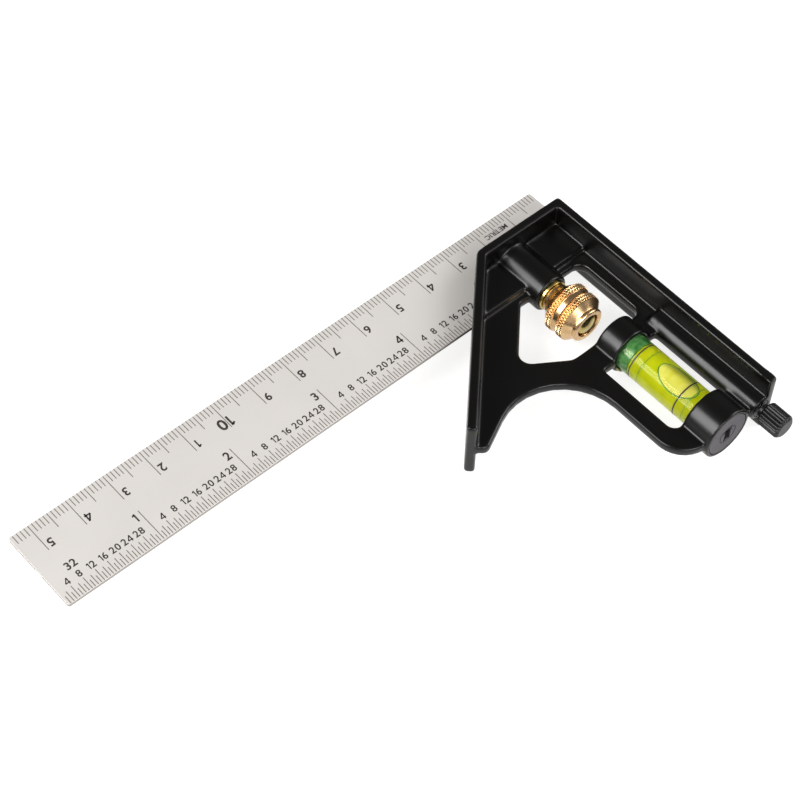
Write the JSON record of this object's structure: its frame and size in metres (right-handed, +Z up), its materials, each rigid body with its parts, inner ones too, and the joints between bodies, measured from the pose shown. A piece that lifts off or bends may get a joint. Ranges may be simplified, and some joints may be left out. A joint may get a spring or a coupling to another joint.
{
  "type": "combination square",
  "caption": "Small combination square: graduated steel blade sliding in a black die-cast head with 90 and 45 degree faces, brass lock nut, bubble vial and scriber.",
  "frame": {"origin": "under the middle of the whole object, on the plane of the head's lower rim that it lies on", "axes": "+X along the blade, out of the head's 90 degree face; +Y across the blade, from the head towards the blade's proud metric edge; +Z up out of the graduated side"},
  "size_m": [0.155, 0.09, 0.017],
  "materials": {
    "satin_steel": "satin ground and chromed, with darkened engraved graduations",
    "black_casting": "semi-gloss black stoved enamel on a die casting",
    "brass": "turned and knurled, bright",
    "yellow_plated_steel": "yellow zinc plated",
    "spring_steel": "drawn wire",
    "clear_acrylic": "moulded, polished",
    "level_liquid": "fluorescent yellow-green liquid",
    "air": "air bubble",
    "vial_plug_plastic": "translucent",
    "bedding_compound": "cured adhesive",
    "rubber": "matt",
    "plug_plastic": "fine matt",
    "hardened_steel": "ground",
    "knob_plastic": "satin, fluted"
  },
  "bodies": {
    "head": {"head_casting": "black_casting", "bolt_spring": "spring_steel", "nut_washer": "yellow_plated_steel", "vial_tube": "clear_acrylic", "vial_liquid": "level_liquid", "vial_stopper": "vial_plug_plastic", "vial_bedding": "bedding_compound", "vial_cushion": "rubber", "holder_plug": "plug_plastic", "scriber_bush": "knob_plastic"},
    "blade": {"blade": "satin_steel"},
    "draw_bolt": {"draw_bolt": "yellow_plated_steel"},
    "lock_nut": {"lock_nut": "brass"},
    "bubble": {"vial_bubble": "air"},
    "scriber": {"scriber_needle": "hardened_steel", "scriber_knob": "knob_plastic"}
  },
  "joints": [
    {"name": "blade_slide", "type": "slide", "parent": "head", "child": "blade", "axis": [1, 0, 0], "range_m": [-0.014, 0.133]},
    {"name": "lock_nut_turn", "type": "hinge", "parent": "head", "child": "lock_nut", "pos_m": [0.0596, 0.012, 0.0085], "axis": [0, -1, 0], "range_deg": [0, 360]},
    {"name": "draw_bolt_slide", "type": "slide", "parent": "head", "child": "draw_bolt", "axis": [0, 1, 0], "range_m": [0, 0.0007]},
    {"name": "scriber_pull", "type": "slide", "parent": "head", "child": "scriber", "axis": [0, -1, 0], "range_m": [0, 0.036]},
    {"name": "bubble_run", "type": "slide", "parent": "head", "child": "bubble", "axis": [0, -1, 0], "range_m": [-0.0043, 0.0025]}
  ],
  "couplings": [
    {"joint": "draw_bolt_slide", "follows": "lock_nut_turn", "m_per_rad": 0.00011141}
  ]
}
